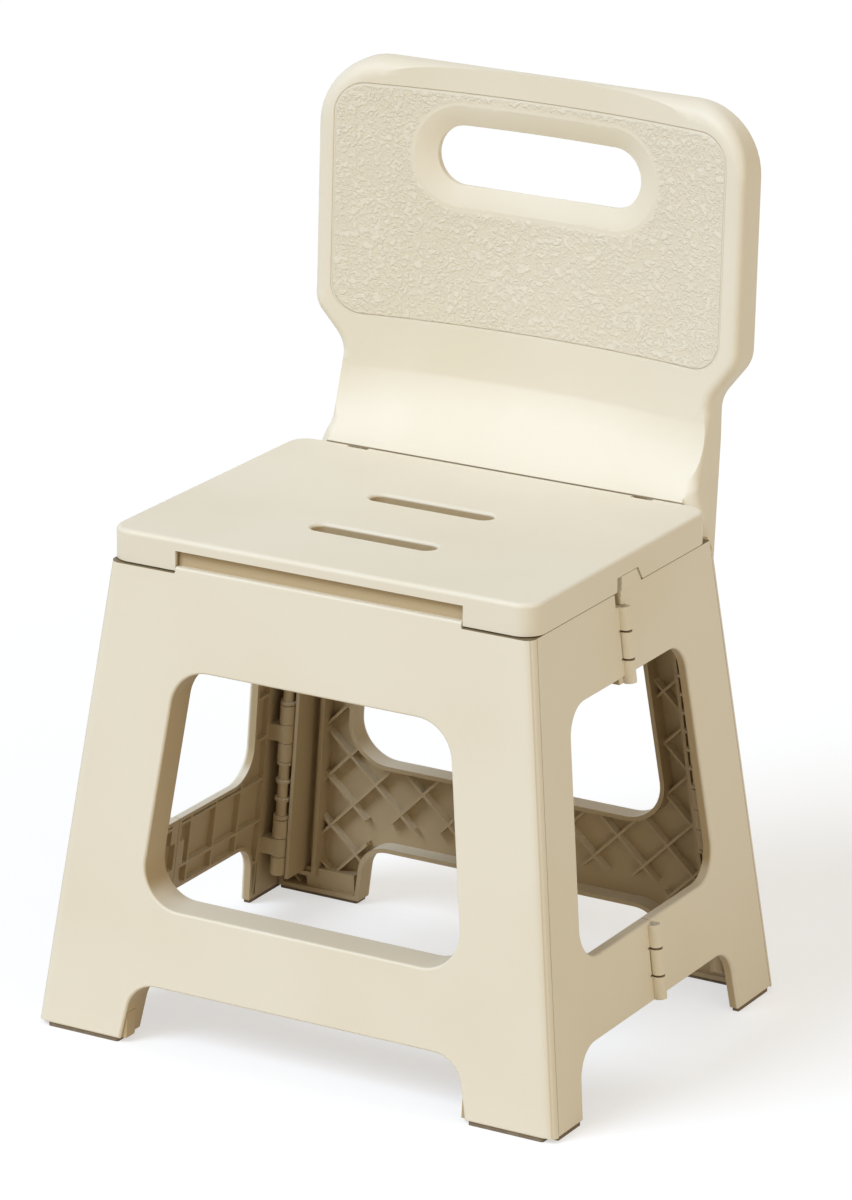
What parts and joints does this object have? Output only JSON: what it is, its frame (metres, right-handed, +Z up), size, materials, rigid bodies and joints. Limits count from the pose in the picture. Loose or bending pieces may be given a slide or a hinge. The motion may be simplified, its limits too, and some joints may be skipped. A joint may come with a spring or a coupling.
{
  "type": "folding step stool chair",
  "caption": "Moulded plastic folding step stool with a curved backrest, grip slots in the seat and back, and hinged side panels that fold inwards.",
  "frame": {"origin": "on the floor under the middle of the open chair's box", "axes": "+Z up, -Y the front where a person steps up or sits down, +X to the right seen from the front"},
  "size_m": [0.3662, 0.3016, 0.562],
  "materials": {
    "cream_plastic": "fine satin moulding",
    "steel_pin": "drawn pin",
    "rubber_pad": "matt"
  },
  "bodies": {
    "rear_frame": {"rear_panel_with_backrest": "cream_plastic", "seat_rear_pin_right": "steel_pin", "seat_rear_pin_left": "steel_pin", "corner_pin_rear_right": "steel_pin", "corner_pin_rear_left": "steel_pin", "foot_pad_rear_right": "rubber_pad", "foot_pad_rear_left": "rubber_pad"},
    "right_rear_half": {"right_rear_side": "cream_plastic", "lower_side_pin_right": "steel_pin", "upper_side_pin_right": "steel_pin", "side_pad_rear_right": "rubber_pad"},
    "right_front_half": {"right_front_side": "cream_plastic", "side_pad_front_right": "rubber_pad"},
    "front_frame": {"front_panel": "cream_plastic", "corner_pin_front_right": "steel_pin", "foot_pad_front_right": "rubber_pad", "foot_pad_front_left": "rubber_pad"},
    "left_rear_half": {"left_rear_side": "cream_plastic", "lower_side_pin_left": "steel_pin", "upper_side_pin_left": "steel_pin", "side_pad_rear_left": "rubber_pad"},
    "left_front_half": {"left_front_side": "cream_plastic", "corner_pin_front_left": "steel_pin", "side_pad_front_left": "rubber_pad"},
    "seat_body": {"seat": "cream_plastic", "seat_link_pin_right": "steel_pin", "seat_link_pin_left": "steel_pin"},
    "link_body": {"seat_link": "cream_plastic", "front_link_pin_right": "steel_pin", "front_link_pin_left": "steel_pin"}
  },
  "joints": [
    {"name": "fold", "type": "hinge", "parent": "rear_frame", "child": "right_rear_half", "pos_m": [0.1645, 0.10504, 0], "axis": [0.1131, 0.0805, -0.9903], "range_deg": [0, 88]},
    {"name": "right_middle_hinge", "type": "hinge", "parent": "right_rear_half", "child": "right_front_half", "pos_m": [0.185, -0.01196, 0], "axis": [-0.1274, 0, 0.9918], "range_deg": [0, 175.1]},
    {"name": "right_front_corner", "type": "hinge", "parent": "right_front_half", "child": "front_frame", "pos_m": [0.1645, -0.12896, 0], "axis": [0.1131, -0.0805, -0.9903], "range_deg": [0, 88]},
    {"name": "left_rear_corner", "type": "hinge", "parent": "rear_frame", "child": "left_rear_half", "pos_m": [-0.1645, 0.10504, 0], "axis": [0.1131, -0.0805, 0.9903], "range_deg": [0, 88]},
    {"name": "left_middle_hinge", "type": "hinge", "parent": "left_rear_half", "child": "left_front_half", "pos_m": [-0.185, -0.01196, 0], "axis": [-0.1274, 0, -0.9918], "range_deg": [0, 175.1]},
    {"name": "seat_hinge", "type": "hinge", "parent": "rear_frame", "child": "seat_body", "pos_m": [0, 0.09654, 0.313], "axis": [-1, 0, 0], "range_deg": [0, 86.1]},
    {"name": "link_hinge", "type": "hinge", "parent": "seat_body", "child": "link_body", "pos_m": [0, 0.00343, 0.2925], "axis": [1, 0, 0], "range_deg": [0, 166.2]}
  ],
  "couplings": [
    {"joint": "right_middle_hinge", "follows": "fold", "ratio": 1.989},
    {"joint": "right_front_corner", "follows": "fold", "ratio": 1},
    {"joint": "left_rear_corner", "follows": "fold", "ratio": 1},
    {"joint": "left_middle_hinge", "follows": "fold", "ratio": 1.989},
    {"joint": "seat_hinge", "follows": "fold", "ratio": 0.97727},
    {"joint": "link_hinge", "follows": "fold", "ratio": 1.8874}
  ]
}
